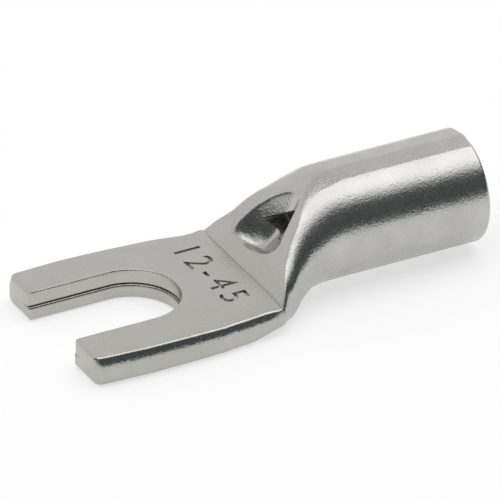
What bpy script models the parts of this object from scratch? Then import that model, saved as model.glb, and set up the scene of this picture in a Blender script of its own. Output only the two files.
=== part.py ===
"""Fork terminal: a tinned copper tube, flattened at one end into a slotted tongue.

The tube lies along X with its tongue's tip at -X and its open mouth at +X, and the
tongue's underside is at Z = 0. All sizes are in metres, given here as millimetres * MM.
"""

import math

import bmesh
import bpy
from mathutils import Vector

MM = 0.001

# Tube
LENGTH = 29.7 * MM
BARREL_DIAMETER = 7.5 * MM
WALL = 1.05 * MM
MOUTH_ROUNDING = 0.25 * MM
BORE_LEAD_IN = 0.3 * MM

# Flattened tongue, bowed along its length and folded along its edges
TONGUE_THICKNESS = 2.06 * MM
TIP_WIDTH = 12.5 * MM
BELLY_WIDTH = 12.8 * MM
ROOT_WIDTH = 11.8 * MM
FOLD_RADIUS = 1.4 * MM
FOLD_TURN = math.radians(42.6)
LOWER_EDGE_RADIUS = 0.35 * MM
TIP_CORNER_RADIUS = 0.5 * MM
TIP_EDGE_RADIUS = 0.22 * MM

# Slot for the stud, punched through both layers of the tongue
SLOT_WIDTH = 6.45 * MM
SLOT_DEPTH = 8.9 * MM
SLOT_MOUTH_RADIUS = 0.25 * MM
SLOT_RIM_RADIUS = 0.2 * MM
SLOT_FOOT_RADIUS = 0.12 * MM
SEAM_RADIUS = 0.13 * MM
SEAM_GAP = 0.03 * MM
LOWER_LAYER_INSET = 0.12 * MM

# Where the press ends, measured from the tip, and how the tube opens out beyond it
PRESS_LINE = 13.6 * MM
RAMP_LENGTH = 5.4 * MM
RAMP_EASE = 1.57
NARROWING = (-0.37, 0.87)
FOLD_OPENING = (-0.37, 0.78)
CREST_FADING = (0.0, 1.24)
UNDERSIDE_ROUNDING = (0.0, 0.63)

# Hollow where the upper wall folds down: its level floor, and the lines that bound its walls
HOLLOW_START = 0.4 * MM
HOLLOW_STEP = 0.64 * MM
HOLLOW_RISE = 0.12
HOLLOW_BOWL_RADIUS = 17.0 * MM
HOLLOW_VALLEY = -1.0 * MM
HOLLOW_CENTRE = 1.55 * MM
HOLLOW_FAR_SIDE = 3.2 * MM
HOLLOW_NEAR_SIDE = 3.0 * MM
HOLLOW_FAR_CORNER = 1.65 * MM
HOLLOW_FAR_CORNER_WIDTH = 2.7 * MM
HOLLOW_NEAR_CORNER = 1.9 * MM
HOLLOW_NEAR_CORNER_WIDTH = 2.6 * MM
HOLLOW_FAR_TAPER = 1.17
HOLLOW_NEAR_TAPER = 0.85
HOLLOW_CORNER_POWER = 4.0

# Three-cornered sight hole, from the hollow through the wall into the bore. Its corners are
# across and up, in barrel diameters.
SIGHT_CORNERS = ((0.18, 0.573), (-0.187, 0.8), (-0.24, 0.493))
SIGHT_ROUNDING = 0.35 * MM
SIGHT_START = 2.0 * MM
SIGHT_END = 4.8 * MM

# The bore's closed end, where the two walls of the tube meet
BORE_START = 2.7 * MM
BORE_START_WIDTH = 5.6 * MM
BORE_START_HEIGHT = 0.5 * MM
BORE_EASE = 2.4

# Columns of half a section: upper flat, fold, side, lower corner, lower flat. The shares of the
# section's length keep columns apart where the crest and the side fade out.
SKIN_COLUMNS = (15, 11, 1, 9, 5)
CREST_SHARE = 0.18
SIDE_SHARE = 0.02
UNDERSIDE_SHARE = 0.84
BORE_SEGMENTS = 20
TONGUE_STATIONS = 12
RAMP_STATIONS = 34
BORE_STATIONS = 12
SLOT_ARC_SEGMENTS = 27
ROUNDING_STEPS = 3
CURVE_STEPS = 16

# How far a cutter reaches past the face that it starts from
OVERSHOOT = 2.0 * MM

# The tinned surface
TIN_COLOUR = (0.66, 0.65, 0.62, 1.0)
TIN_ROUGHNESS = 0.3

BARREL_RADIUS = BARREL_DIAMETER / 2
AXIS_HEIGHT = BARREL_RADIUS
BORE_RADIUS = BARREL_RADIUS - WALL
TIP_X = -LENGTH / 2


def clear_scene():
    """Remove every object that the scene starts with."""
    for obj in list(bpy.data.objects):
        bpy.data.objects.remove(obj, do_unlink=True)


def new_collection(name):
    """Return a new collection, linked to the scene."""
    collection = bpy.data.collections.new(name)
    bpy.context.scene.collection.children.link(collection)
    return collection


def new_object(name, mesh, collection):
    """Return a mesh object placed in the collection."""
    obj = bpy.data.objects.new(name, mesh)
    collection.objects.link(obj)
    return obj


def tinned_copper():
    """Return the satin tin finish that covers the whole lug."""
    material = bpy.data.materials.new("tinned_copper")
    material.use_nodes = True
    shader = material.node_tree.nodes["Principled BSDF"]
    shader.inputs["Base Color"].default_value = TIN_COLOUR
    shader.inputs["Metallic"].default_value = 1.0
    shader.inputs["Roughness"].default_value = TIN_ROUGHNESS
    material.diffuse_color = TIN_COLOUR
    return material


def eased(share):
    """Return 0 to 1 along a smooth step, level at both ends."""
    share = min(max(share, 0.0), 1.0)
    return share * share * (3 - 2 * share)


def risen(share, ease):
    """Return 0 to 1 along a curve that is steep at first and level at its end."""
    return 1 - (1 - min(max(share, 0.0), 1.0)) ** ease


def ramp_share(distance):
    """Return how far along the ramp a distance from the tip is: 0 at the press line, 1 at its end."""
    return (distance - PRESS_LINE) / RAMP_LENGTH


def part_of(distance, span):
    """Return how far a change has come, 0 to 1, that takes place over a span of ramp shares."""
    return eased((ramp_share(distance) - span[0]) / (span[1] - span[0]))


def top_height(distance):
    """Return the height of the pressed top at this distance from the tip, without its hollow."""
    rise = BARREL_DIAMETER - TONGUE_THICKNESS
    return TONGUE_THICKNESS + rise * risen(ramp_share(distance), RAMP_EASE)


def rounded_off(radius, short):
    """Return how much a rounded edge takes off at this distance short of its end."""
    return radius - math.sqrt(max(radius**2 - max(short, 0.0) ** 2, 0.0))


def half_width(distance):
    """Return half of the lug's width: a bow along the tongue that narrows to the barrel."""
    share = min(distance / PRESS_LINE, 1.0)
    bow = TIP_WIDTH * (1 - share) * (1 - 2 * share)
    bow += 4 * BELLY_WIDTH * share * (1 - share)
    bow += ROOT_WIDTH * share * (2 * share - 1)
    return bow / 2 + (BARREL_RADIUS - bow / 2) * part_of(distance, NARROWING)


def curve(centre, across, up, start, end):
    """Return points along part of an ellipse, by angles from its top."""
    turns = [start + (end - start) * i / CURVE_STEPS for i in range(CURVE_STEPS + 1)]
    return [(centre[0] + across * math.sin(turn), centre[1] + up * math.cos(turn)) for turn in turns]


def outline(distance):
    """Return the pressed section's half outline, from the top's centre to the bottom's.

    The press leaves a flat top that ends at a crest, a fold from the crest to the widest
    point, and a lower corner that grows into the tube's round underside.
    """
    top = top_height(distance)
    wide = half_width(distance)
    fold = FOLD_RADIUS + (BARREL_RADIUS - FOLD_RADIUS) * part_of(distance, FOLD_OPENING)
    crest = FOLD_TURN * (1 - part_of(distance, CREST_FADING))
    under = part_of(distance, UNDERSIDE_ROUNDING)
    middle = top / 2
    lower_up = LOWER_EDGE_RADIUS + (middle - LOWER_EDGE_RADIUS) * under
    lower_across = LOWER_EDGE_RADIUS + (fold - LOWER_EDGE_RADIUS) * under
    side = curve((wide - fold, middle), fold, middle / math.cos(crest), crest, math.pi / 2)
    corner = curve((wide - lower_across, lower_up), lower_across, lower_up, math.pi / 2, math.pi)
    return [(0.0, top), *side, *corner, (0.0, 0.0)]


def resampled(points, shares):
    """Return the points at these shares of a chain's length."""
    lengths = [0.0]
    for before, after in zip(points, points[1:]):
        lengths.append(lengths[-1] + math.dist(before, after))
    found = []
    i = 1
    for share in shares:
        along = share * lengths[-1]
        while i < len(points) - 1 and lengths[i] < along:
            i += 1
        gap = lengths[i] - lengths[i - 1]
        t = (along - lengths[i - 1]) / gap if gap > 0 else 0.0
        found.append(tuple(a + (b - a) * t for a, b in zip(points[i - 1], points[i])))
    return found


def column_shares(chain):
    """Return the shares of a half outline's length at which the mesh's columns lie.

    Columns follow the crest and the corners, but never crowd together where these fade out.
    """
    lengths = [0.0]
    for before, after in zip(chain, chain[1:]):
        lengths.append(lengths[-1] + math.dist(before, after))
    ends = (1, CURVE_STEPS + 1, CURVE_STEPS + 2, len(chain) - 2)
    crest, widest, lower, under = (lengths[i] / lengths[-1] for i in ends)
    crest = max(crest, CREST_SHARE)
    lower = max(lower, widest + SIDE_SHARE)
    under = max(min(under, UNDERSIDE_SHARE), lower + SIDE_SHARE)
    stops = (0.0, crest, widest, lower, under, 1.0)
    shares = [0.0]
    for start, end, count in zip(stops, stops[1:], SKIN_COLUMNS):
        shares += [start + (end - start) * i / count for i in range(1, count + 1)]
    return shares


def hollow_edges(past):
    """Return the hollow's half widths on its far and near sides, at this distance past the press line."""
    far = HOLLOW_FAR_CORNER_WIDTH - HOLLOW_FAR_TAPER * (past - HOLLOW_FAR_CORNER)
    near = HOLLOW_NEAR_CORNER_WIDTH - HOLLOW_NEAR_TAPER * (past - HOLLOW_NEAR_CORNER)
    return far, near


def hollow_depth(distance, across):
    """Return how far the hollow lowers the ramp at this distance from the tip."""
    past = distance - PRESS_LINE
    floor = TONGUE_THICKNESS + HOLLOW_STEP + HOLLOW_RISE * (past - HOLLOW_START)
    floor += (across - HOLLOW_VALLEY) ** 2 / (2 * HOLLOW_BOWL_RADIUS)
    room = top_height(distance) - floor
    if past <= 0 or room <= 0:
        return 0.0
    far, near = hollow_edges(past)
    far_middle, near_middle = hollow_edges(HOLLOW_CENTRE)
    shares = (
        1 - (far - across) / far_middle,
        1 - (near + across) / near_middle,
        across / HOLLOW_FAR_SIDE,
        -across / HOLLOW_NEAR_SIDE,
    )
    out = sum(max(share, 0.0) ** HOLLOW_CORNER_POWER for share in shares) ** (1 / HOLLOW_CORNER_POWER)
    return room * max(1 - out**2, 0.0)


def skin_section(distance):
    """Return the half section of the lug's outside at this distance from the tip."""
    chain = outline(distance)
    section = [(y, z, z) for y, z in resampled(chain, column_shares(chain))]
    for i in range(SKIN_COLUMNS[0] + 1):
        y, z, _ = section[i]
        section[i] = (y, z - hollow_depth(distance, y), z - hollow_depth(distance, -y))
    middle = TONGUE_THICKNESS / 2
    narrower = 1 - rounded_off(TIP_CORNER_RADIUS, TIP_CORNER_RADIUS - distance) / half_width(distance)
    thinner = 1 - rounded_off(TIP_EDGE_RADIUS, TIP_EDGE_RADIUS - distance) / middle
    if thinner < 1:
        section = [(y, *(middle + (z - middle) * thinner for z in sides)) for y, *sides in section]
    return [(y * narrower, *sides) for y, *sides in section]


def mouth_section(inset):
    """Return the half section of the barrel's mouth, with its radius reduced by the inset."""
    scale = 1 - inset / BARREL_RADIUS
    section = skin_section(LENGTH)
    return [(y * scale, *(AXIS_HEIGHT + (z - AXIS_HEIGHT) * scale for z in sides)) for y, *sides in section]


def bore_section(radius, opened):
    """Return the half section of the bore, 0 to 1 opened from its closed end to its radius."""
    points = []
    for i in range(BORE_SEGMENTS + 1):
        turn = math.pi * i / BORE_SEGMENTS
        y = BORE_START_WIDTH / 2 * math.sin(turn)
        z = WALL + BORE_START_HEIGHT / 2 * (1 + math.cos(turn))
        y += (radius * math.sin(turn) - y) * opened
        z += (AXIS_HEIGHT + radius * math.cos(turn) - z) * opened
        points.append((y, z, z))
    return points


def steps(start, end, count):
    """Return count distances from just after start up to end."""
    return [start + (end - start) * i / count for i in range(1, count + 1)]


def loft(name, rings, material, collection):
    """Return a closed solid through rings of points that match one to one."""
    body = bmesh.new()
    rings = [[body.verts.new(point) for point in ring] for ring in rings]
    for ring, beyond in zip(rings, rings[1:]):
        for i in range(len(ring)):
            j = (i + 1) % len(ring)
            body.faces.new((ring[i], beyond[i], beyond[j], ring[j]))
    body.faces.new(rings[0])
    body.faces.new(rings[-1][::-1])
    bmesh.ops.recalc_face_normals(body, faces=body.faces)
    mesh = bpy.data.meshes.new(name)
    body.to_mesh(mesh)
    body.free()
    mesh.materials.append(material)
    return new_object(name, mesh, collection)


def ring_at(distance, half):
    """Return the whole ring of a half section given as (y, z at +y, z at -y)."""
    x = TIP_X + distance
    return [(x, y, z) for y, z, _ in half] + [(x, -y, z) for y, _, z in half[-2:0:-1]]


def skin(material, collection):
    """Return the lug's outside: tongue, ramp and barrel, without the bore and the slot."""
    distances = [0.0]
    distances += steps(0.0, TIP_EDGE_RADIUS, ROUNDING_STEPS)
    distances += steps(TIP_EDGE_RADIUS, TIP_CORNER_RADIUS, 1)
    distances += steps(TIP_CORNER_RADIUS, PRESS_LINE, TONGUE_STATIONS)
    ramp_end = PRESS_LINE + RAMP_LENGTH * CREST_FADING[1]
    distances += steps(PRESS_LINE, ramp_end, RAMP_STATIONS)
    rings = [ring_at(distance, skin_section(distance)) for distance in distances]
    for i in range(ROUNDING_STEPS + 1):
        turn = math.pi / 2 * i / ROUNDING_STEPS
        inset = MOUTH_ROUNDING * (1 - math.cos(turn))
        rings.append(ring_at(LENGTH - MOUTH_ROUNDING * (1 - math.sin(turn)), mouth_section(inset)))
    return loft("fork_lug", rings, material, collection)


def bore_cutter(material, collection):
    """Return the hollow inside the tube, from the closed end out past the mouth."""
    start = PRESS_LINE + BORE_START
    end = PRESS_LINE + RAMP_LENGTH * CREST_FADING[1]
    rings = [
        ring_at(distance, bore_section(BORE_RADIUS, risen((distance - start) / (end - start), BORE_EASE)))
        for distance in [start, *steps(start, end, BORE_STATIONS)]
    ]
    rings.append(ring_at(LENGTH - BORE_LEAD_IN, bore_section(BORE_RADIUS, 1.0)))
    rings.append(ring_at(LENGTH + OVERSHOOT, bore_section(BORE_RADIUS + BORE_LEAD_IN + OVERSHOOT, 1.0)))
    return loft("bore_cutter", rings, material, collection)


def slot_ring(height, grow):
    """Return the slot's outline at this height, grown all round, with its mouth rounded."""
    radius = SLOT_WIDTH / 2 + grow
    centre = TIP_X + SLOT_DEPTH - SLOT_WIDTH / 2
    arc = []
    for i in range(SLOT_ARC_SEGMENTS + 1):
        turn = math.pi * (i / SLOT_ARC_SEGMENTS - 0.5)
        arc.append((centre + radius * math.cos(turn), radius * math.sin(turn), height))
    side = []
    for i in range(ROUNDING_STEPS + 1):
        turn = math.pi / 2 * i / ROUNDING_STEPS
        x = TIP_X + SLOT_MOUTH_RADIUS * (1 - math.sin(turn))
        side.append((x, radius + SLOT_MOUTH_RADIUS * (1 - math.cos(turn)), height))
    side.append((TIP_X - OVERSHOOT, side[-1][1], height))
    return arc + side + [(x, -y, z) for x, y, z in side[::-1]]


def slot_cutter(material, collection):
    """Return the cutter of the slot, through the upper layer, the seam and the lower layer."""
    turns = [math.pi / 2 * i / ROUNDING_STEPS for i in range(ROUNDING_STEPS + 1)]
    middle = TONGUE_THICKNESS / 2
    below = middle - SEAM_GAP
    levels = [(TONGUE_THICKNESS + OVERSHOOT, SLOT_RIM_RADIUS)]
    for turn in turns:
        drop, out = 1 - math.cos(turn), 1 - math.sin(turn)
        levels.append((TONGUE_THICKNESS - SLOT_RIM_RADIUS * drop, SLOT_RIM_RADIUS * out))
    levels += [(middle + SEAM_RADIUS * (1 - math.sin(t)), SEAM_RADIUS * (1 - math.cos(t))) for t in turns]
    for turn in turns:
        drop, out = 1 - math.cos(turn), 1 - math.sin(turn)
        levels.append((below - SEAM_RADIUS * drop, SEAM_RADIUS * out - LOWER_LAYER_INSET))
    for turn in turns:
        height, out = 1 - math.sin(turn), 1 - math.cos(turn)
        levels.append((SLOT_FOOT_RADIUS * height, SLOT_FOOT_RADIUS * out - LOWER_LAYER_INSET))
    levels.append((-OVERSHOOT, SLOT_FOOT_RADIUS - LOWER_LAYER_INSET))
    return loft("slot_cutter", [slot_ring(height, grow) for height, grow in levels], material, collection)


def sight_cutter(material, collection):
    """Return the three-cornered punch that opens the hollow into the bore."""
    corners = [Vector(corner) * BARREL_DIAMETER for corner in SIGHT_CORNERS]
    shape = []
    for i, corner in enumerate(corners):
        before = (corners[i - 1] - corner).normalized()
        after = (corners[(i + 1) % 3] - corner).normalized()
        half = before.angle(after) / 2
        centre = corner + (before + after).normalized() * SIGHT_ROUNDING / math.sin(half)
        start = corner + before * SIGHT_ROUNDING / math.tan(half) - centre
        end = corner + after * SIGHT_ROUNDING / math.tan(half) - centre
        for k in range(2 * ROUNDING_STEPS + 1):
            spoke = start.slerp(end, k / (2 * ROUNDING_STEPS)).normalized() * SIGHT_ROUNDING
            shape.append(centre + spoke)
    rings = [[(TIP_X + PRESS_LINE + past, y, z) for y, z in shape] for past in (SIGHT_START, SIGHT_END)]
    return loft("sight_hole_cutter", rings, material, collection)


def cut(target, cutters):
    """Subtract each cutter from the target."""
    for cutter in cutters:
        cutter.hide_render = True
        cutter.display_type = "WIRE"
        boolean = target.modifiers.new("cut_" + cutter.name, "BOOLEAN")
        boolean.operation = "DIFFERENCE"
        boolean.solver = "EXACT"
        boolean.object = cutter


def main():
    """Build the lug."""
    clear_scene()
    parts = new_collection("fork_terminal")
    helpers = new_collection("cutters")
    tin = tinned_copper()
    lug = skin(tin, parts)
    cut(lug, [bore_cutter(tin, helpers), sight_cutter(tin, helpers), slot_cutter(tin, helpers)])
    for face in lug.data.polygons:
        face.use_smooth = True
    helpers.hide_render = True


main()
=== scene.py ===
"""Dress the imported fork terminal: a smooth pressed tube in satin tin, on a pale studio floor."""

import logging
import math
from collections.abc import Iterable, Sequence
from dataclasses import dataclass, field
from enum import Enum

import bpy
import numpy as np
from mathutils import Matrix, Vector

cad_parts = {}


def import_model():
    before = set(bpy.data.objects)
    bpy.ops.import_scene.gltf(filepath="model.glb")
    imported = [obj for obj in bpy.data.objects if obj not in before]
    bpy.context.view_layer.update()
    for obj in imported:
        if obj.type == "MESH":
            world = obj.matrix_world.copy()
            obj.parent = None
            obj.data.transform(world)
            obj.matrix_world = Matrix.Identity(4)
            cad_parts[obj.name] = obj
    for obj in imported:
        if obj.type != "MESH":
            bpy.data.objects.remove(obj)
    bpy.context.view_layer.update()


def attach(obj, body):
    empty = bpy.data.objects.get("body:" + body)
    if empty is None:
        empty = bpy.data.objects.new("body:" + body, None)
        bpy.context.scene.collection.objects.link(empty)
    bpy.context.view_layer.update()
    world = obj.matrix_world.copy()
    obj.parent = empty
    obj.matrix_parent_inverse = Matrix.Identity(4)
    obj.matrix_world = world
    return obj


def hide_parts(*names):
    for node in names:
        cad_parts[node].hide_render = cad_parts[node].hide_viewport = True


LOG = logging.getLogger("fork_terminal")
MM = 0.001
BODY = "root"
NODE = "fork_lug"

# Points closer together than these are one point, on a wrapped blank and on the stamp
BLANK_REACH = 1e-7
STAMP_REACH = 1e-6

# A station's corner is rounded over this many millimetres to either side, from this many samples
BLUR = 0.2
BLUR_SAMPLES = 9

Pair = tuple[float, float]
Point = tuple[float, float, float]
Colour = tuple[float, float, float, float]

WHITE: Colour = (1.0, 1.0, 1.0, 1.0)


# Mesh helpers


def clear_selection() -> None:
    """Leave edit mode and deselect every object."""
    if bpy.context.object is not None and bpy.context.object.mode != "OBJECT":
        bpy.ops.object.mode_set(mode="OBJECT")
    bpy.ops.object.select_all(action="DESELECT")


def make_active(piece: bpy.types.Object) -> None:
    """Select one object alone and make it the active one.

    Args:
        piece: The object to work on.
    """
    clear_selection()
    piece.select_set(True)
    bpy.context.view_layer.objects.active = piece


def edit(piece: bpy.types.Object) -> None:
    """Open a mesh for editing, with all of it selected.

    Args:
        piece: The mesh object.
    """
    make_active(piece)
    bpy.ops.object.mode_set(mode="EDIT")
    bpy.ops.mesh.select_all(action="SELECT")


def face_outwards(piece: bpy.types.Object) -> None:
    """Turn a closed mesh's faces outwards.

    Args:
        piece: The mesh object.
    """
    edit(piece)
    bpy.ops.mesh.normals_make_consistent(inside=False)
    bpy.ops.object.mode_set(mode="OBJECT")


def settle(piece: bpy.types.Object) -> None:
    """Put an object's place, turn and scale into its mesh.

    Args:
        piece: The object to settle at the origin.
    """
    make_active(piece)
    bpy.ops.object.transform_apply(location=True, rotation=True, scale=True)


def cut(piece: bpy.types.Object, cutters: Iterable[bpy.types.Object]) -> None:
    """Take each cutter's shape out of a piece, and remove the cutter.

    Args:
        piece: The object that is cut.
        cutters: Closed solids.
    """
    for cutter in cutters:
        make_active(piece)
        boolean = piece.modifiers.new("cut", "BOOLEAN")
        boolean.operation = "DIFFERENCE"
        boolean.solver = "EXACT"
        boolean.object = cutter
        bpy.ops.object.modifier_apply(modifier=boolean.name)
        bpy.data.objects.remove(cutter, do_unlink=True)


def read_points(piece: bpy.types.Object) -> np.ndarray:
    """Return a mesh's vertices.

    Args:
        piece: The mesh object.

    Returns:
        One row of x, y and z for each vertex.
    """
    points = np.empty(len(piece.data.vertices) * 3)
    piece.data.vertices.foreach_get("co", points)
    return points.reshape(-1, 3)


def write_points(piece: bpy.types.Object, points: np.ndarray) -> None:
    """Move a mesh's vertices.

    Args:
        piece: The mesh object.
        points: One row of x, y and z for each vertex.
    """
    piece.data.vertices.foreach_set("co", points.ravel())
    piece.data.update()


def eased(share: np.ndarray | float) -> np.ndarray:
    """Return 0 to 1 along a smooth step, level at both ends."""
    share = np.clip(share, 0.0, 1.0)
    return share * share * (3 - 2 * share)


def risen(share: np.ndarray | float, ease: float) -> np.ndarray:
    """Return 0 to 1 along a curve that is steep at first and level at its end."""
    return 1 - (1 - np.clip(share, 0.0, 1.0)) ** ease


def rounded(reach: float, radius: float) -> float:
    """Return how far a rounded edge has drawn in.

    Args:
        reach: How far past the rounding's start.
        radius: The rounding's radius.

    Returns:
        The distance inwards, 0 at the start and the radius at its end.
    """
    return radius - math.sqrt(max(radius**2 - reach**2, 0.0))


def between(distance: float, stations: Sequence[Pair]) -> float:
    """Return a size that changes softly from station to station.

    Args:
        distance: Where along the lug, in metres from the tips.
        stations: Pairs of a distance in millimetres and the size there.

    Returns:
        The size, in the stations' unit.
    """
    where, sizes = zip(*stations)
    around = distance / MM + np.linspace(-BLUR, BLUR, BLUR_SAMPLES)
    return float(np.interp(around, where, sizes).mean())


def wrap(rows: int, around: int) -> tuple[bpy.types.Object, np.ndarray, np.ndarray]:
    """Add a flat blank that will be wrapped into a tube.

    Args:
        rows: How many rows of points it has along the tube.
        around: How many faces it has round the tube.

    Returns:
        The blank, and each point's row and its turn from the tube's top, -1 to 1.
    """
    clear_selection()
    bpy.ops.mesh.primitive_grid_add(x_subdivisions=rows - 1, y_subdivisions=around, size=2.0)
    blank = bpy.context.object
    points = read_points(blank)
    return blank, np.rint((points[:, 0] + 1) / 2 * (rows - 1)).astype(int), points[:, 1]


def close_up(piece: bpy.types.Object) -> None:
    """Join a wrapped blank along its seam and close its ends.

    Args:
        piece: The wrapped blank.
    """
    edit(piece)
    bpy.ops.mesh.remove_doubles(threshold=BLANK_REACH)
    bpy.ops.mesh.select_all(action="DESELECT")
    bpy.ops.mesh.select_non_manifold()
    bpy.ops.mesh.edge_face_add()
    face_outwards(piece)


# The lug


@dataclass
class Skin:
    """The outside of the lug: flat tongue, ramp with its hollow, and round barrel.

    Distances run from the tines' tips along the lug. Across the lug, the near side is minus and the
    far side plus.
    """

    length: float = 29.7 * MM
    barrel_radius: float = 3.75 * MM
    mouth_rounding: float = 0.25 * MM

    thickness: float = 2.06 * MM
    lower_edge: float = 0.5 * MM
    tip_corner: float = 0.6 * MM
    tip_edge: float = 0.34 * MM

    press_line: float = 13.6 * MM
    press_softness: float = 0.03 * MM
    groove_depth: float = 0.06 * MM
    groove_width: float = 0.05 * MM
    groove_offset: float = 0.02 * MM
    groove_fade: float = 0.12 / MM
    groove_middle: float = 1.0 * MM
    groove_limits: Pair = (0.3, 1.3)
    opened: float = 19.0 * MM
    opened_round: float = 20.3 * MM
    ramp_ease: float = 1.57
    sag: float = 0.12 * MM
    sag_middle: float = 18.5 * MM
    sag_width: float = 0.9 * MM

    # Stations along the lug, in millimetres from the tips, each with the size there
    half_widths: tuple[Pair, ...] = (
        (0, 6.33), (3.7, 6.51), (6.5, 6.47), (9.3, 6.34), (11.0, 6.04), (12.0, 5.80), (12.8, 5.74),
        (13.6, 5.72), (13.75, 5.58), (14.0, 5.42), (14.4, 5.07), (14.8, 4.85), (15.2, 4.66),
        (16.0, 4.33), (17.0, 3.96), (18.3, 3.75),
    )
    # How far the section's middle has moved to the near side
    leans: tuple[Pair, ...] = (
        (0, 0), (10.0, 0.05), (11.0, 0.15), (12.0, 0.24), (13.6, 0.24), (13.8, 0.25), (14.1, 0.22),
        (14.5, 0.18), (15.0, 0.14), (15.6, 0),
    )
    # How wide the rolled side is, inwards from the widest place
    folds: tuple[Pair, ...] = (
        (0, 2.3), (12.0, 2.2), (13.5, 1.7), (13.8, 1.3), (14.1, 1.5), (14.9, 2.69), (15.6, 3.07),
        (16.4, 3.44), (17.8, 3.75),
    )
    # At how many degrees round the rolled side the crest stands, and how softly it bends there
    crest_turns: tuple[Pair, ...] = (
        (0, 59), (12.8, 59), (13.3, 68), (13.5, 66), (13.7, 48), (14.0, 40), (14.4, 34), (14.9, 30),
        (15.6, 31.5), (16.4, 31), (17.3, 19.5), (18.6, 6), (20.3, 0),
    )
    crest_softness: tuple[Pair, ...] = (
        (0, 0.12), (13.0, 0.12), (13.8, 0.08), (15.8, 0.08), (17.4, 0.6), (19.0, 1.28),
    )
    # How far the top's near and far edges hang below its middle
    near_droops: tuple[Pair, ...] = (
        (0, 0.06), (3.7, 0.09), (6.5, 0.13), (9.3, 0.21), (12.0, 0.24), (13.5, 0.24), (13.8, 0.10),
        (14.2, 0),
    )
    far_droops: tuple[Pair, ...] = (
        (0, 0.06), (3.7, 0.09), (6.5, 0.14), (9.3, 0.2), (11.8, 0.05), (13.8, 0.02), (14.3, -0.1),
        (14.8, -0.17), (15.4, -0.05), (16.0, 0.08), (16.6, 0.16), (17.3, 0.1), (18.2, 0),
    )
    droop_power: int = 4
    # How much further the underside's rounding reaches in beside the press line
    tucks: tuple[Pair, ...] = ((12.0, 0), (13.0, 0.8), (13.6, 1.3), (14.2, 1.0), (15.2, 0))
    # The underside's share of the barrel's roundness: 0 is a flat one with a small edge
    undersides: tuple[Pair, ...] = (
        (0, 0), (11.5, 0), (12.5, 0.35), (13.3, 0.8), (13.8, 0.85), (14.2, 0.6), (14.7, 0.32),
        (15.3, 0.5), (16.0, 0.79), (17.0, 1),
    )
    # The furthest round the rolled side that the crest's bend may end
    bend_limit: float = math.pi / 2 - 0.2

    # The hollow: a sloping floor inside sides and slanting lines, each line through two places
    hollow_base: float = 13.95 * MM
    hollow_floor: float = 2.25 * MM
    hollow_rise: float = 0.5
    hollow_bowl: float = 12.0
    hollow_lip: float = 0.35 * MM
    hollow_bottom: float = 0.9
    hollow_valley: float = -1.0 * MM
    hollow_centre: Pair = (15.15 * MM, 0.3 * MM)
    hollow_sides: Pair = (3.4 * MM, -3.2 * MM)
    hollow_far: tuple[Pair, Pair] = ((14.91 * MM, 2.85 * MM), (17.3 * MM, 0.1 * MM))
    hollow_near: tuple[Pair, Pair] = ((17.5 * MM, -1.2 * MM), (15.2 * MM, -2.85 * MM))
    hollow_front: tuple[Pair, Pair] = ((14.6 * MM, -2.7 * MM), (13.8 * MM, 2.8 * MM))
    hollow_corners: float = 2.5
    hollow_rim: float = 0.03 * MM

    # The mesh: rows along the lug, and columns for each stretch of half a section
    before_press: float = 0.3 * MM
    after_press: float = 0.4 * MM
    tip_rows: int = 7
    tongue_rows: int = 56
    press_rows: int = 36
    ramp_rows: int = 122
    barrel_rows: int = 10
    mouth_rows: int = 7
    columns: tuple[int, ...] = (34, 6, 26, 6, 10, 26)
    earliest_stops: Point = (0.16, 0.20, 0.46)
    stop_gap: float = 0.01
    latest_stop: float = 0.84
    crown_points: int = 20
    bend_points: int = 13
    side_points: int = 40

    @property
    def tip_x(self) -> float:
        """Return where the tines' tips are along X."""
        return -self.length / 2

    def rows(self) -> np.ndarray:
        """Return the distances of the mesh's rows, close together where the shape curves."""
        turn = np.linspace(0, np.pi / 2, self.tip_rows)
        tip = self.tip_corner * (1 - np.cos(turn))
        near, past = self.press_line - self.before_press, self.press_line + self.after_press
        tongue = np.linspace(self.tip_corner, near, self.tongue_rows)[1:]
        press = np.linspace(near, past, self.press_rows)[1:]
        ramp = np.linspace(past, self.opened_round, self.ramp_rows)[1:]
        barrel = np.linspace(self.opened_round, self.length - self.mouth_rounding, self.barrel_rows)[1:]
        turn = np.linspace(0, np.pi / 2, self.mouth_rows)[1:]
        mouth = self.length - self.mouth_rounding * (1 - np.sin(turn))
        return np.concatenate([tip, tongue, press, ramp, barrel, mouth])

    def height(self, distance: float) -> float:
        """Return the height of the pressed top, without its hollow.

        Args:
            distance: The distance from the tips.

        Returns:
            The height above the tongue's underside.
        """
        soft = self.press_softness
        beyond = soft * np.logaddexp(0.0, (distance - self.press_line) / soft)
        share = beyond / (self.opened - self.press_line)
        sunk = self.sag * np.exp(-(((distance - self.sag_middle) / self.sag_width) ** 2))
        rise = 2 * self.barrel_radius - self.thickness
        return float(self.thickness + rise * risen(share, self.ramp_ease) - sunk)

    def half_width(self, distance: float) -> float:
        """Return half of the lug's width."""
        return between(distance, self.half_widths) * MM

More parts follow.
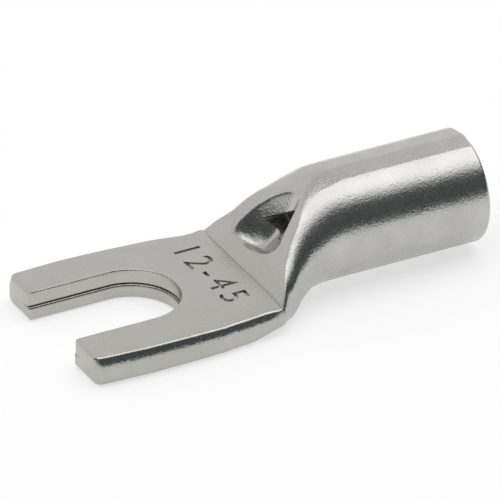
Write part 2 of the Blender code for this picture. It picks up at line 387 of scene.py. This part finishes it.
    def outline(self, distance: float, droop: float) -> tuple[np.ndarray, np.ndarray, np.ndarray]:
        """Return half of the section, as the press leaves it.

        Args:
            distance: The distance from the tips.
            droop: How far this side's edge hangs below the middle.

        Returns:
            Points from the top's centre round to the underside's centre, the shares of the outline's
            length at which its bend starts and ends, its side ends, its lower side starts and its
            underside starts, and the share at each point.
        """
        top = self.height(distance)
        wide = self.half_width(distance)
        fold = between(distance, self.folds) * MM
        crease = math.radians(between(distance, self.crest_turns))
        soft = between(distance, self.crest_softness) * MM
        under = between(distance, self.undersides)
        middle = top / 2
        tall = (top - droop - middle) / math.cos(crease)
        low_z = self.lower_edge + (middle - self.lower_edge) * under
        low_y = self.lower_edge + (fold + between(distance, self.tucks) * MM - self.lower_edge) * under
        soft_turn = min(crease + soft / fold, self.bend_limit)
        corner = np.array([wide - fold + fold * math.sin(crease), top - droop])
        share = np.linspace(0, max(1 - soft / corner[0], 0.0), self.crown_points)
        crown = np.stack([corner[0] * share, top - droop * share**self.droop_power], axis=1)
        after = np.array([wide - fold + fold * math.sin(soft_turn), middle + tall * math.cos(soft_turn)])
        t = np.linspace(0, 1, self.bend_points)[:, None]
        bend = crown[-1] * (1 - t) ** 2 + corner * 2 * t * (1 - t) + after * t**2
        turn = np.linspace(soft_turn, np.pi / 2, self.side_points)
        side = np.stack([wide - fold + fold * np.sin(turn), middle + tall * np.cos(turn)], axis=1)
        turn = np.linspace(np.pi / 2, np.pi, self.side_points)
        low = np.stack([wide - low_y + low_y * np.sin(turn), low_z + low_z * np.cos(turn)], axis=1)
        parts = [crown[:-1], bend, side[1:], low, [[0, 0]]]
        points = np.concatenate(parts)
        along = np.concatenate([[0], np.cumsum(np.hypot(*np.diff(points, axis=0).T))])
        lengths = np.cumsum([len(part) for part in parts])
        starts = np.array([lengths[0], lengths[1] - 1, lengths[2] - 1, lengths[2], lengths[3] - 1])
        return points, along[starts] / along[-1], along / along[-1]

    def half_section(self, distance: float, droop: float) -> np.ndarray:
        """Return half of the section at the mesh's columns.

        Args:
            distance: The distance from the tips.
            droop: How far this side's edge hangs below the middle.

        Returns:
            One row of y and z for each column, from the top's centre to the underside's centre.
        """
        points, stops, along = self.outline(distance, droop)
        stops[:3] = np.maximum(stops[:3], self.earliest_stops)
        stops[3] = max(stops[3], stops[2] + self.stop_gap)
        stops[4] = min(stops[4], self.latest_stop)
        stops = np.concatenate([[0], np.maximum.accumulate(stops), [1]])
        shares = [np.linspace(a, b, n + 1)[1:] for a, b, n in zip(stops, stops[1:], self.columns)]
        shares = np.concatenate([[0.0], *shares])
        return np.stack([np.interp(shares, along, values) for values in points.T], axis=1)

    def hollow(self, distance: float, across: np.ndarray) -> np.ndarray:
        """Return how far the hollow sinks below the ramp.

        Args:
            distance: The distance from the tips.
            across: Each point's place across the lug.

        Returns:
            The depth at each point.
        """
        middle = self.hollow_centre
        edges = [(side - across) / (side - middle[1]) for side in self.hollow_sides]
        for first, second in (self.hollow_far, self.hollow_near, self.hollow_front):
            run, rise = second[0] - first[0], second[1] - first[1]
            inside = (distance - first[0]) * rise - (across - first[1]) * run
            edges.append(inside / ((middle[0] - first[0]) * rise - (middle[1] - first[1]) * run))
        power = self.hollow_corners
        out = sum(np.maximum(1 - edge, 0) ** power for edge in edges) ** (1 / power)
        floor = self.hollow_floor + self.hollow_rise * (distance - self.hollow_base)
        floor = floor + self.hollow_bowl * (across - self.hollow_valley) ** 2
        room = self.height(distance) - floor
        lip = float(eased((distance - self.hollow_base) / self.hollow_lip))
        bottom = self.hollow_bottom
        sunk = (np.hypot(1, bottom) - np.hypot(out, bottom)) / (math.hypot(1, bottom) - bottom)
        deep = room * sunk * lip / self.hollow_rim
        return self.hollow_rim * np.logaddexp(0.0, deep)

    def groove(self, distance: float, across: np.ndarray) -> np.ndarray:
        """Return how deep the press tool's edge bit in, less towards the far side.

        Args:
            distance: The distance from the tips.
            across: Each point's place across the lug.

        Returns:
            The depth at each point.
        """
        away = (distance - self.press_line + self.groove_offset) / self.groove_width
        pressed = np.clip(1.0 - self.groove_fade * (across - self.groove_middle), *self.groove_limits)
        return self.groove_depth * pressed * math.exp(-(away**2))

    def section(self, distance: float, turns: np.ndarray) -> np.ndarray:
        """Return the lug's outside at one distance from the tips.

        Args:
            distance: The distance from the tips.
            turns: Each point's turn from the top, -1 to 1, at the mesh's columns.

        Returns:
            One row of y and z for each point.
        """
        near = self.half_section(distance, between(distance, self.near_droops) * MM)
        far = self.half_section(distance, between(distance, self.far_droops) * MM)
        column = np.rint(np.abs(turns) * (len(near) - 1)).astype(int)
        y, z = np.where((turns < 0)[:, None], near[column], far[column]).T
        side = np.where(turns < 0, -1.0, 1.0)
        top = column <= self.columns[0] + self.columns[1]
        if self.press_line < distance < self.opened:
            z = z - self.hollow(distance, side * y) * top
        if distance > self.tip_corner:
            z = z - self.groove(distance, side * y) * top
        if distance < self.tip_corner:
            inset = rounded(self.tip_corner - distance, self.tip_corner)
            y = y * (1 - inset / self.half_width(distance))
        if distance < self.tip_edge:
            middle = self.thickness / 2
            inset = rounded(self.tip_edge - distance, self.tip_edge)
            z = middle + (z - middle) * (1 - inset / middle)
        past = distance - (self.length - self.mouth_rounding)
        if past > 0:
            shrink = 1 - rounded(past, self.mouth_rounding) / self.barrel_radius
            y, z = y * shrink, self.barrel_radius + (z - self.barrel_radius) * shrink
        return np.stack([side * y - between(distance, self.leans) * MM, z], axis=1)

    def build(self) -> bpy.types.Object:
        """Return the outside as a closed mesh: a flat blank, wrapped round and pressed."""
        rows = self.rows()
        piece, row, turns = wrap(len(rows), 2 * sum(self.columns))
        points = np.empty((len(row), 3))
        for index, distance in enumerate(rows):
            here = row == index
            points[here, 0] = self.tip_x + distance
            points[here, 1:] = self.section(float(distance), turns[here])
        write_points(piece, points)
        close_up(piece)
        return piece


@dataclass
class Slot:
    """The stud's slot: two pressed layers with soft edges and a seam between them."""

    width: float = 6.45 * MM
    depth: float = 8.9 * MM
    mouth_rounding: float = 0.16 * MM
    upper_edge: float = 0.09 * MM
    lower_edge: float = 0.24 * MM
    seam_over: float = 0.1 * MM
    seam_under: float = 0.13 * MM
    seam_gap: float = 0.03 * MM
    lower_layer: float = 0.12 * MM
    overshoot: float = 2.0 * MM
    edge_points: int = 6
    arc_points: int = 33
    straight_points: int = 7
    mouth_points: int = 6

    def levels(self, thickness: float) -> list[Pair]:
        """Return the cutter's heights, each with how much wider the slot is there.

        Args:
            thickness: The tongue's thickness.

        Returns:
            Pairs of height and growth, from the top down.
        """
        turns = np.linspace(0, np.pi / 2, self.edge_points)
        middle = thickness / 2
        rim, seam, foot = self.upper_edge, self.seam_over, self.lower_edge
        steps = [(thickness + self.overshoot, rim)]
        steps += [(thickness - rim * (1 - math.cos(a)), rim * (1 - math.sin(a))) for a in turns]
        steps += [(middle + seam * (1 - math.sin(a)), seam * (1 - math.cos(a))) for a in turns]
        layer, seam = self.lower_layer, self.seam_under
        below = middle - self.seam_gap
        steps += [(below - seam * (1 - math.cos(a)), seam * (1 - math.sin(a)) - layer) for a in turns]
        steps += [(foot * (1 - math.sin(a)), foot * (1 - math.cos(a)) - layer) for a in turns]
        steps.append((-self.overshoot, foot - layer))
        return steps

    def outline(self, tip_x: float, grow: float) -> np.ndarray:
        """Return the slot's outline in plan.

        Args:
            tip_x: Where the tines' tips are.
            grow: How much wider than the slot it is.

        Returns:
            One row of x and y for each point, all the way round.
        """
        radius = self.width / 2 + grow
        centre = tip_x + self.depth - self.width / 2
        turn = np.linspace(0, np.pi / 2, self.arc_points)
        arc = np.stack([centre + radius * np.cos(turn), radius * np.sin(turn)], axis=1)
        straight = np.linspace(centre, tip_x + self.mouth_rounding, self.straight_points + 1)[1:]
        straight = np.stack([straight, np.full_like(straight, radius)], axis=1)
        turn = np.linspace(0, np.pi / 2, self.mouth_points + 1)[1:]
        mouth = np.stack(
            [
                tip_x + self.mouth_rounding * (1 - np.sin(turn)),
                radius + self.mouth_rounding * (1 - np.cos(turn)),
            ],
            axis=1,
        )
        start = np.array([[tip_x - self.overshoot, mouth[-1, 1]]])
        half = np.concatenate([arc, straight, mouth, start])
        return np.concatenate([half, half[:0:-1] * [1, -1]])

    def cutter(self, tip_x: float, thickness: float) -> bpy.types.Object:
        """Return the closed cutter of the whole slot.

        Args:
            tip_x: Where the tines' tips are.
            thickness: The tongue's thickness.

        Returns:
            The cutter.
        """
        levels = self.levels(thickness)
        count = len(self.outline(tip_x, 0.0))
        cutter, row, turns = wrap(len(levels), count)
        column = np.rint((turns + 1) / 2 * count).astype(int) % count
        points = np.empty((len(row), 3))
        for index, (height, grow) in enumerate(levels):
            here = row == index
            points[here, :2] = self.outline(tip_x, grow)[column[here]]
            points[here, 2] = height
        write_points(cutter, points)
        close_up(cutter)
        return cutter


@dataclass
class Bore:
    """The wire's bore, from the end where the walls meet out past the mouth."""

    wall: float = 1.05 * MM
    lead_in: float = 0.3 * MM
    start: float = 16.3 * MM
    start_width: float = 5.6 * MM
    start_height: float = 0.5 * MM
    ease: float = 2.4
    overshoot: float = 2.0 * MM
    closing_rows: int = 30
    around: int = 96

    def cutter(self, skin: Skin) -> bpy.types.Object:
        """Return the closed cutter of the bore.

        Args:
            skin: The lug's outside.

        Returns:
            The cutter.
        """
        distances = np.concatenate(
            [
                np.linspace(self.start, skin.opened_round, self.closing_rows),
                [skin.length - self.lead_in, skin.length + self.overshoot],
            ]
        )
        cutter, row, turns = wrap(len(distances), self.around)
        share = risen((distances - self.start) / (skin.opened_round - self.start), self.ease)[row]
        radius = np.full(len(distances), skin.barrel_radius - self.wall)
        radius[-1] += self.lead_in + self.overshoot
        radius = radius[row]
        angle = turns * np.pi
        flat_y = self.start_width / 2 * np.sin(angle)
        flat_z = self.wall + self.start_height / 2 * (1 + np.cos(angle))
        tube_z = skin.barrel_radius + radius * np.cos(angle)
        points = np.stack(
            [
                skin.tip_x + distances[row],
                flat_y + (radius * np.sin(angle) - flat_y) * share,
                flat_z + (tube_z - flat_z) * share,
            ],
            axis=1,
        )
        write_points(cutter, points)
        close_up(cutter)
        return cutter


@dataclass
class SightHole:
    """The three-cornered hole in the hollow's steep side, through which the wire's end shows."""

    corners: tuple[Pair, ...] = ((1.35 * MM, 4.3 * MM), (-1.4 * MM, 6.0 * MM), (-1.8 * MM, 3.7 * MM))
    rounding: float = 0.35 * MM
    rounding_faces: int = 8
    start: float = 15.6 * MM
    end: float = 18.4 * MM

    def cutter(self, tip_x: float) -> bpy.types.Object:
        """Return the punch that opens the hollow into the bore.

        Args:
            tip_x: Where the tines' tips are.

        Returns:
            The cutter.
        """
        reach = self.end - self.start
        clear_selection()
        bpy.ops.mesh.primitive_cylinder_add(
            vertices=len(self.corners),
            radius=MM,
            depth=reach,
            location=(tip_x + self.start + reach / 2, 0, 0),
            rotation=(0, math.pi / 2, 0),
        )
        cutter = bpy.context.object
        settle(cutter)
        points = read_points(cutter)
        angles = np.arctan2(points[:, 2], points[:, 1])
        _, corner = np.unique(np.round(angles, 3), return_inverse=True)
        middle = np.mean(self.corners, axis=0)
        placed = sorted(self.corners, key=lambda c: math.atan2(c[1] - middle[1], c[0] - middle[0]))
        points[:, 1:] = np.array(placed)[corner]
        write_points(cutter, points)
        face_outwards(cutter)
        bpy.ops.object.mode_set(mode="EDIT")
        bpy.ops.mesh.select_all(action="DESELECT")
        bpy.ops.object.mode_set(mode="OBJECT")
        for edge in cutter.data.edges:
            first, second = (cutter.data.vertices[v].co for v in edge.vertices)
            edge.select = abs(first.x - second.x) > reach / 2
        bpy.ops.object.mode_set(mode="EDIT")
        bpy.ops.mesh.select_mode(type="EDGE")
        bpy.ops.mesh.bevel(offset=self.rounding, offset_type="OFFSET", segments=self.rounding_faces)
        bpy.ops.object.mode_set(mode="OBJECT")
        return cutter


@dataclass
class Marks:
    """The row of figures stamped across the tongue's root."""

    figures: str = "12-45"
    centre: Pair = (11.35 * MM, 0.1 * MM)
    size: float = 2.7 * MM
    spacing: float = 1.3
    depth: float = 0.16 * MM
    curve_steps: int = 6

    def cutter(self, tip_x: float, top: float) -> bpy.types.Object:
        """Return the stamp, half sunk in the tongue's top, with its row running across the tongue.

        Args:
            tip_x: Where the tines' tips are.
            top: The height of the tongue's top.

        Returns:
            The cutter.
        """
        clear_selection()
        bpy.ops.object.text_add(location=(tip_x + self.centre[0], self.centre[1], top))
        stamp = bpy.context.object
        stamp.data.body = self.figures
        stamp.data.size = self.size
        stamp.data.space_character = self.spacing
        stamp.data.align_x = "CENTER"
        stamp.data.align_y = "CENTER"
        stamp.data.resolution_u = self.curve_steps
        stamp.data.extrude = self.depth
        bpy.ops.object.convert(target="MESH")
        stamp.rotation_euler = (0, 0, -math.pi / 2)
        settle(stamp)
        edit(stamp)
        bpy.ops.mesh.remove_doubles(threshold=STAMP_REACH)
        face_outwards(stamp)
        return stamp


@dataclass
class Lug:
    """The whole lug: its skin, less the bore, the sight hole, the stud's slot and the marks."""

    skin: Skin = field(default_factory=Skin)
    slot: Slot = field(default_factory=Slot)
    bore: Bore = field(default_factory=Bore)
    sight: SightHole = field(default_factory=SightHole)
    marks: Marks = field(default_factory=Marks)
    smooth_angle: float = 32.0

    def build(self) -> bpy.types.Object:
        """Return the finished lug."""
        skin = self.skin
        lug = skin.build()
        lug.name = "lug_body"
        cut(
            lug,
            [
                self.bore.cutter(skin),
                self.sight.cutter(skin.tip_x),
                self.slot.cutter(skin.tip_x, skin.thickness),
                self.marks.cutter(skin.tip_x, skin.thickness),
            ],
        )
        make_active(lug)
        bpy.ops.object.shade_smooth_by_angle(angle=math.radians(self.smooth_angle))
        LOG.info("%s: %d faces", lug.name, len(lug.data.polygons))
        return lug


# Shader maths


class Wire:
    """A shader socket that takes part in Python expressions."""

    def __init__(self, shader: "Shader", socket: bpy.types.NodeSocket) -> None:
        """Keep the socket and the shader that it belongs to."""
        self.shader = shader
        self.socket = socket

    def math(self, operation: str, first: "Wire | float", second: "Wire | float" = 0.0) -> "Wire":
        """Return the result of a Math node."""
        return self.shader.node("ShaderNodeMath", {"operation": operation}, {0: first, 1: second})

    def __add__(self, other: "Wire | float") -> "Wire":
        """Return the sum."""
        return self.math("ADD", self, other)

    __radd__ = __add__

    def __mul__(self, other: "Wire | float") -> "Wire":
        """Return the product."""
        return self.math("MULTIPLY", self, other)

    __rmul__ = __mul__

    def __sub__(self, other: "Wire | float") -> "Wire":
        """Return the difference."""
        return self.math("SUBTRACT", self, other)

    def __rsub__(self, other: "Wire | float") -> "Wire":
        """Return the difference the other way round."""
        return self.math("SUBTRACT", other, self)

    def root(self) -> "Wire":
        """Return the square root."""
        return self.math("SQRT", self)


@dataclass(frozen=True)
class Fade:
    """Grey stops over a measure: the ramp's middle and span, and each stop's measure and value."""

    middle: float
    span: float
    stops: tuple[Pair, ...]


class Shader:
    """A material's node tree, built by expressions."""

    def __init__(self, name: str) -> None:
        """Start a material with an empty tree.

        Args:
            name: The material's name.
        """
        self.material = bpy.data.materials.new(name)
        self.material.use_nodes = True
        self.tree = self.material.node_tree
        self.tree.nodes.clear()

    def add(
        self, kind: str, settings: dict[str, object], inputs: dict[int | str, object]
    ) -> bpy.types.Node:
        """Add any node.

        Args:
            kind: The node's type.
            settings: The node's own settings, set before its sockets.
            inputs: Values or wires of its input sockets.

        Returns:
            The node.
        """
        node = self.tree.nodes.new(kind)
        stops = settings.pop("stops", None)
        for key, value in settings.items():
            setattr(node, key, value)
        if stops is not None:
            self.set_stops(node.color_ramp, stops)
        for key, value in inputs.items():
            socket = node.inputs[key]
            if isinstance(value, Wire):
                self.tree.links.new(value.socket, socket)
            else:
                socket.default_value = value
        return node

    def node(
        self,
        kind: str,
        settings: dict[str, object],
        inputs: dict[int | str, object],
        output: int | str = 0,
    ) -> Wire:
        """Add any node and return one of its outputs.

        Args:
            kind: The node's type.
            settings: The node's own settings.
            inputs: Values or wires of its input sockets.
            output: The output socket that is returned.

        Returns:
            The chosen output.
        """
        return Wire(self, self.add(kind, settings, inputs).outputs[output])

    @staticmethod
    def set_stops(ramp: bpy.types.ColorRamp, stops: Sequence[Pair]) -> None:
        """Set a colour ramp's grey stops.

        Args:
            ramp: The ramp.
            stops: Each stop's place and its grey value.
        """
        while len(ramp.elements) > 1:
            ramp.elements.remove(ramp.elements[-1])
        for index, (place, value) in enumerate(stops):
            element = ramp.elements[0] if index == 0 else ramp.elements.new(place)
            element.position = place
            element.color = (value, value, value, 1.0)

    def ramp(self, value: Wire, stops: Sequence[Pair]) -> Wire:
        """Return a value passed through grey stops."""
        return self.node("ShaderNodeValToRGB", {"stops": stops}, {"Fac": value})

    def fade(self, value: Wire, fade: Fade) -> Wire:
        """Return a measure passed through a fade."""
        stops = [((place - fade.middle) / fade.span + 0.5, level) for place, level in fade.stops]
        return self.ramp((value - fade.middle) * (1 / fade.span) + 0.5, stops)

    def place(self) -> Wire:
        """Return the Object coordinates, in millimetres."""
        where = self.node("ShaderNodeTexCoord", {}, {}, "Object")
        return self.node("ShaderNodeVectorMath", {"operation": "SCALE"}, {0: where, "Scale": 1 / MM})

    def noise(self, place: Wire, scale: float, detail: float, rough: float) -> Wire:
        """Return fractal noise, 0 to 1."""
        inputs = {"Vector": place, "Scale": scale, "Detail": detail, "Roughness": rough}
        return self.node("ShaderNodeTexNoise", {}, inputs)

    def mix(self, factor: Wire, first: Wire | Colour, second: Wire | Colour) -> Wire:
        """Return a mix of two colours."""
        return self.node("ShaderNodeMix", {"data_type": "RGBA"}, {0: factor, 6: first, 7: second}, 2)

    def glow(self, strength: float) -> Wire:
        """Return a white light of the given strength."""
        return self.node("ShaderNodeEmission", {}, {"Color": WHITE, "Strength": strength})

    def matt(self, colour: Colour) -> Wire:
        """Return a matt surface."""
        return self.node("ShaderNodeBsdfDiffuse", {}, {"Color": colour})

    def blend(self, factor: Wire | float, first: Wire, second: Wire) -> Wire:
        """Return a mix of two surfaces."""
        return self.node("ShaderNodeMixShader", {}, {0: factor, 1: first, 2: second})

    def bump(self, height: Wire, distance: float, normal: Wire | None = None) -> Wire:
        """Return a bumped normal.

        Args:
            height: The pattern, 0 to 1.
            distance: How high the pattern stands at 1.
            normal: The normal that it is added to.

        Returns:
            The normal.
        """
        inputs: dict[int | str, object] = {"Strength": 1.0, "Distance": distance, "Height": height}
        if normal is not None:
            inputs["Normal"] = normal
        return self.node("ShaderNodeBump", {}, inputs)

    def finish(self, surface: Wire) -> bpy.types.Material:
        """Connect the surface and return the material."""
        self.add("ShaderNodeOutputMaterial", {}, {"Surface": surface})
        return self.material


@dataclass(frozen=True)
class SatinTin:
    """Electroplated tin: satin, finely grained, a little warm."""

    bright: Colour = (0.535, 0.53, 0.512, 1.0)
    dull: Colour = (0.465, 0.46, 0.44, 1.0)
    # A darker, warmer tint over the tongue and ramp, fading out towards the barrel
    tongue_tint: Colour = (0.46, 0.455, 0.42, 1.0)
    inside: Colour = (0.78, 0.68, 0.57, 1.0)
    # Painted shadow: a dark band along the seam between the slot's two layers
    seam_shadow: Colour = (0.2, 0.185, 0.155, 1.0)
    inside_roughness: float = 0.35
    roughness: float = 0.2
    roughness_spread: float = 0.08

    # Each noise's scale, detail and roughness
    grain: Point = (8.0, 1.0, 0.5)
    grain_height: float = 0.012 * MM
    peel: Point = (1.4, 2.0, 0.5)
    peel_height: float = 0.012 * MM
    cloud: Point = (0.45, 3.0, 0.6)
    noise_stops: tuple[Pair, ...] = ((0.3, 0.0), (0.7, 1.0))

    # Where the tongue's tint, the slot seam's painted shadow and the bore's deep end lie, in millimetres
    # from the lug's middle and underside. The slot's fade is over the square of the way across
    tongue_tint_along: Fade = Fade(0.0, 20.0, ((-0.8, 0.55), (2.4, 0.0)))
    seam_up: Fade = Fade(1.0, 2.0, ((0.8, 0.0), (0.9, 0.55), (1.04, 0.55), (1.09, 0.0)))
    slot_across: Fade = Fade(25.0, 50.0, ((12.5, 1.0), (15.0, 0.0)))
    bore_axis: float = 3.75
    bore_radius: Fade = Fade(5.0, 10.0, ((2.74, 1.0), (2.80, 0.0)))
    hollow_slope: float = 2.3
    below_hollow: Fade = Fade(0.0, 10.0, ((-1.5, 1.0), (-1.25, 0.0)))
    deep_end_along: Fade = Fade(0.0, 20.0, ((2.8, 1.0), (6.4, 0.0)))

    def within(self, shader: Shader, along: Wire, across: Wire, up: Wire) -> Wire:
        """Return the mask of the bore's deep end.

        Args:
            shader: The material.
            along: The place along the lug.
            across: The place across the lug.
            up: The height.

        Returns:
            1 on the wall of the bore's deep end and 0 elsewhere.
        """
        off = (across * across + (up - self.bore_axis) * (up - self.bore_axis)).root()
        bore = shader.fade(off, self.bore_radius)
        under = shader.fade(up - self.hollow_slope * along, self.below_hollow)
        return bore * under * shader.fade(along, self.deep_end_along)

    def tin(self, shader: Shader, place: Wire, along: Wire, across: Wire, up: Wire) -> Wire:
        """Return the plating's colour, with a painted shadow along the slot's seam.

        Args:
            shader: The material.
            place: The place on the lug.
            along: Its part along the lug.
            across: Its part across the lug.
            up: Its height.

        Returns:
            The colour.
        """
        cloud = shader.ramp(shader.noise(place, *self.cloud), self.noise_stops)
        tin = shader.mix(cloud, self.dull, self.bright)
        tin = shader.mix(shader.fade(along, self.tongue_tint_along), tin, self.tongue_tint)
        # Painted shadow along the seam between the slot's layers, only inside the slot
        slot = shader.fade(across * across, self.slot_across)
        return shader.mix(shader.fade(up, self.seam_up) * slot, tin, self.seam_shadow)

    def material(self) -> bpy.types.Material:
        """Return the finish as a material."""
        shader = Shader("satin_tin")
        place = shader.place()
        split = shader.add("ShaderNodeSeparateXYZ", {}, {0: place})
        along, across, up = (Wire(shader, output) for output in split.outputs)
        grain = shader.noise(place, *self.grain)
        normal = shader.bump(shader.noise(place, *self.peel), self.peel_height)
        normal = shader.bump(grain, self.grain_height, normal)
        within = self.within(shader, along, across, up)
        colour = shader.mix(within, self.tin(shader, place, along, across, up), self.inside)
        rough = self.roughness + self.roughness_spread * shader.ramp(grain, self.noise_stops)
        rough = rough + self.inside_roughness * within
        surface = shader.node(
            "ShaderNodeBsdfPrincipled",
            {},
            {"Base Color": colour, "Metallic": 1.0 - within, "Roughness": rough, "Normal": normal},
        )
        return shader.finish(surface)


# The studio


class Effect(Enum):
    """What a studio card does to the light."""

    DARK = "dark"
    GREY = "grey"
    GLOW = "glow"


@dataclass(frozen=True)
class Card:
    """A studio card: its name, effect, middle, size across and upwards, and where it faces."""

    name: str
    effect: Effect
    centre: Point
    width: float
    height: float
    facing: Point

    def build(self) -> bpy.types.Object:
        """Return the card, which only reflections and light see."""
        clear_selection()
        bpy.ops.mesh.primitive_plane_add(size=1.0)
        card = bpy.context.object
        card.name = self.name
        card.scale = (self.width, self.height, 1)
        card.rotation_euler = Vector(self.facing).to_track_quat("Z", "Y").to_euler()
        card.location = self.centre
        settle(card)
        card.visible_camera = False
        card.visible_shadow = False
        return card


@dataclass
class Studio:
    """The floor, the cards round the lug, the light and the camera."""

    aim: Point = (-1.197 * MM, -1.086 * MM, 3.75 * MM)
    azimuth: float = -27.83
    elevation: float = 30.155
    distance: float = 1.0
    view_width: float = 31.80 * MM
    sensor_width: float = 36.0
    nearest_seen: float = 0.01
    farthest_seen: float = 100.0

    floor_size: float = 6.0
    floor_colour: Colour = (0.9, 0.9, 0.9, 1.0)
    floor_glow: float = 1.14
    floor_glow_share: float = 0.55
    gap_under: float = 0.02 * MM
    dark_colour: Colour = (0.10, 0.117, 0.118, 1.0)
    glow_strength: float = 1.75
    grey_strength: float = 0.55
    world_strength: float = 0.88
    cards: tuple[Card, ...] = (
        Card("softbox", Effect.GLOW, (0.25, -0.02, 0.6), 1.4, 0.5, (0, 0, -1)),
        Card("front_flag", Effect.DARK, (0.1, -0.5, 0.345), 1.6, 0.69, (0, 1, 0)),
        Card("end_flag", Effect.DARK, (-0.6, -0.03, 0.24), 0.7, 0.46, (1, 0, 0)),
        Card("side_flag", Effect.DARK, (0.95, -0.12, 0.3), 0.86, 1.2, (-1, 0, 0)),
        Card("back_strip", Effect.GREY, (0.25, 0.31, 0.6), 1.8, 0.15, (0, 0, -1)),
    )

    def axes(self) -> tuple[Vector, Vector, Vector]:
        """Return the camera's right, up and forward directions."""
        turn, lift = math.radians(self.azimuth), math.radians(self.elevation)
        right = Vector((math.cos(turn), math.sin(turn), 0))
        level = math.cos(lift)
        forward = Vector((-math.sin(turn) * level, math.cos(turn) * level, -math.sin(lift)))
        return right, right.cross(forward), forward

    def camera(self) -> None:
        """Add the camera at the photograph's viewing angle."""
        right, up, forward = self.axes()
        data = bpy.data.cameras.new("camera")
        data.sensor_width = self.sensor_width
        data.lens = data.sensor_width * self.distance / self.view_width
        data.clip_start = self.nearest_seen
        data.clip_end = self.farthest_seen
        camera = bpy.data.objects.new("camera", data)
        bpy.context.scene.collection.objects.link(camera)
        turn = Matrix((right, up, -forward)).transposed().to_4x4()
        camera.matrix_world = Matrix.Translation(Vector(self.aim) - forward * self.distance) @ turn
        bpy.context.scene.camera = camera

    def paper(self, card: Card) -> bpy.types.Material:
        """Return a card's material."""
        shader = Shader(card.name)
        if card.effect is Effect.DARK:
            return shader.finish(shader.matt(self.dark_colour))
        glowing = card.effect is Effect.GLOW
        return shader.finish(shader.glow(self.glow_strength if glowing else self.grey_strength))

    def floor(self) -> None:
        """Add the pale floor."""
        clear_selection()
        bpy.ops.mesh.primitive_plane_add(size=self.floor_size, location=(0, 0, -self.gap_under))
        floor = bpy.context.object
        floor.name = "floor"
        settle(floor)
        shader = Shader("floor")
        matt = shader.matt(self.floor_colour)
        lit = shader.blend(self.floor_glow_share, matt, shader.glow(self.floor_glow))
        camera = shader.node("ShaderNodeLightPath", {}, {}, "Is Camera Ray")
        glossy = shader.node("ShaderNodeLightPath", {}, {}, "Is Glossy Ray")
        floor.data.materials.append(shader.finish(shader.blend(camera + glossy, matt, lit)))

    def world(self) -> None:
        """Surround the scene with plain white light."""
        world = bpy.data.worlds.new("studio")
        world.use_nodes = True
        bpy.context.scene.world = world
        background = world.node_tree.nodes["Background"]
        background.inputs["Color"].default_value = WHITE
        background.inputs["Strength"].default_value = self.world_strength

    def build(self) -> None:
        """Set up the whole studio."""
        self.camera()
        self.floor()
        self.world()
        for plan in self.cards:
            card = plan.build()
            card.data.materials.append(self.paper(plan))
            LOG.info("%s: %s card", card.name, plan.effect.value)
        bpy.context.scene.view_settings.view_transform = "Standard"


def main() -> None:
    """Build the lug and its studio."""
    logging.basicConfig(level=logging.INFO, format="%(message)s")
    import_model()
    lug = Lug().build()
    lug.data.materials.clear()
    lug.data.materials.append(SatinTin().material())
    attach(lug, BODY)
    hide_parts(NODE)
    Studio().build()


if __name__ == "__main__":
    main()
